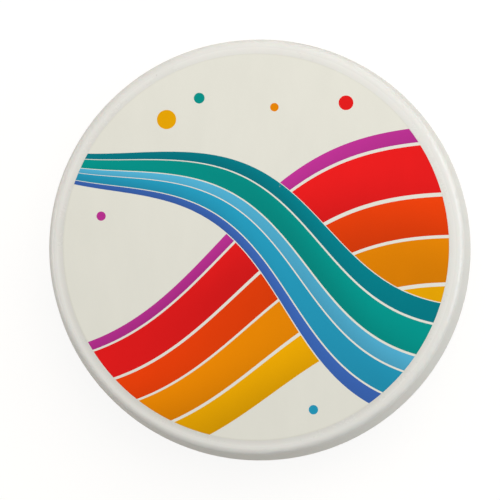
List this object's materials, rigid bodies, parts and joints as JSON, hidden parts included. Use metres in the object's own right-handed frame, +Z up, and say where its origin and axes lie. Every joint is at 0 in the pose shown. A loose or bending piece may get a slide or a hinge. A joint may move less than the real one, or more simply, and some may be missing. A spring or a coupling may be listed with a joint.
{
  "type": "finger moistener",
  "caption": "Low round tub of fingertip gel, closed by a lid that snaps over its neck and carries a round printed label.",
  "frame": {"origin": "centre of the ring that the tub stands on", "axes": "+Z up along the tub's axis of symmetry"},
  "size_m": [0.0664, 0.0664, 0.0163],
  "materials": {
    "tub_plastic": "satin",
    "gel": "gloss",
    "lid_plastic": "satin",
    "liner_foam": "matte",
    "label_print": "satin"
  },
  "bodies": {
    "tub": {"tub": "tub_plastic", "gel_cake": "gel"},
    "lid": {"lid": "lid_plastic", "lid_liner": "liner_foam", "lid_label": "label_print"}
  },
  "joints": [
    {"name": "lid_lift", "type": "slide", "parent": "tub", "child": "lid", "axis": [0, 0, 1], "range_m": [0, 0.04]}
  ]
}
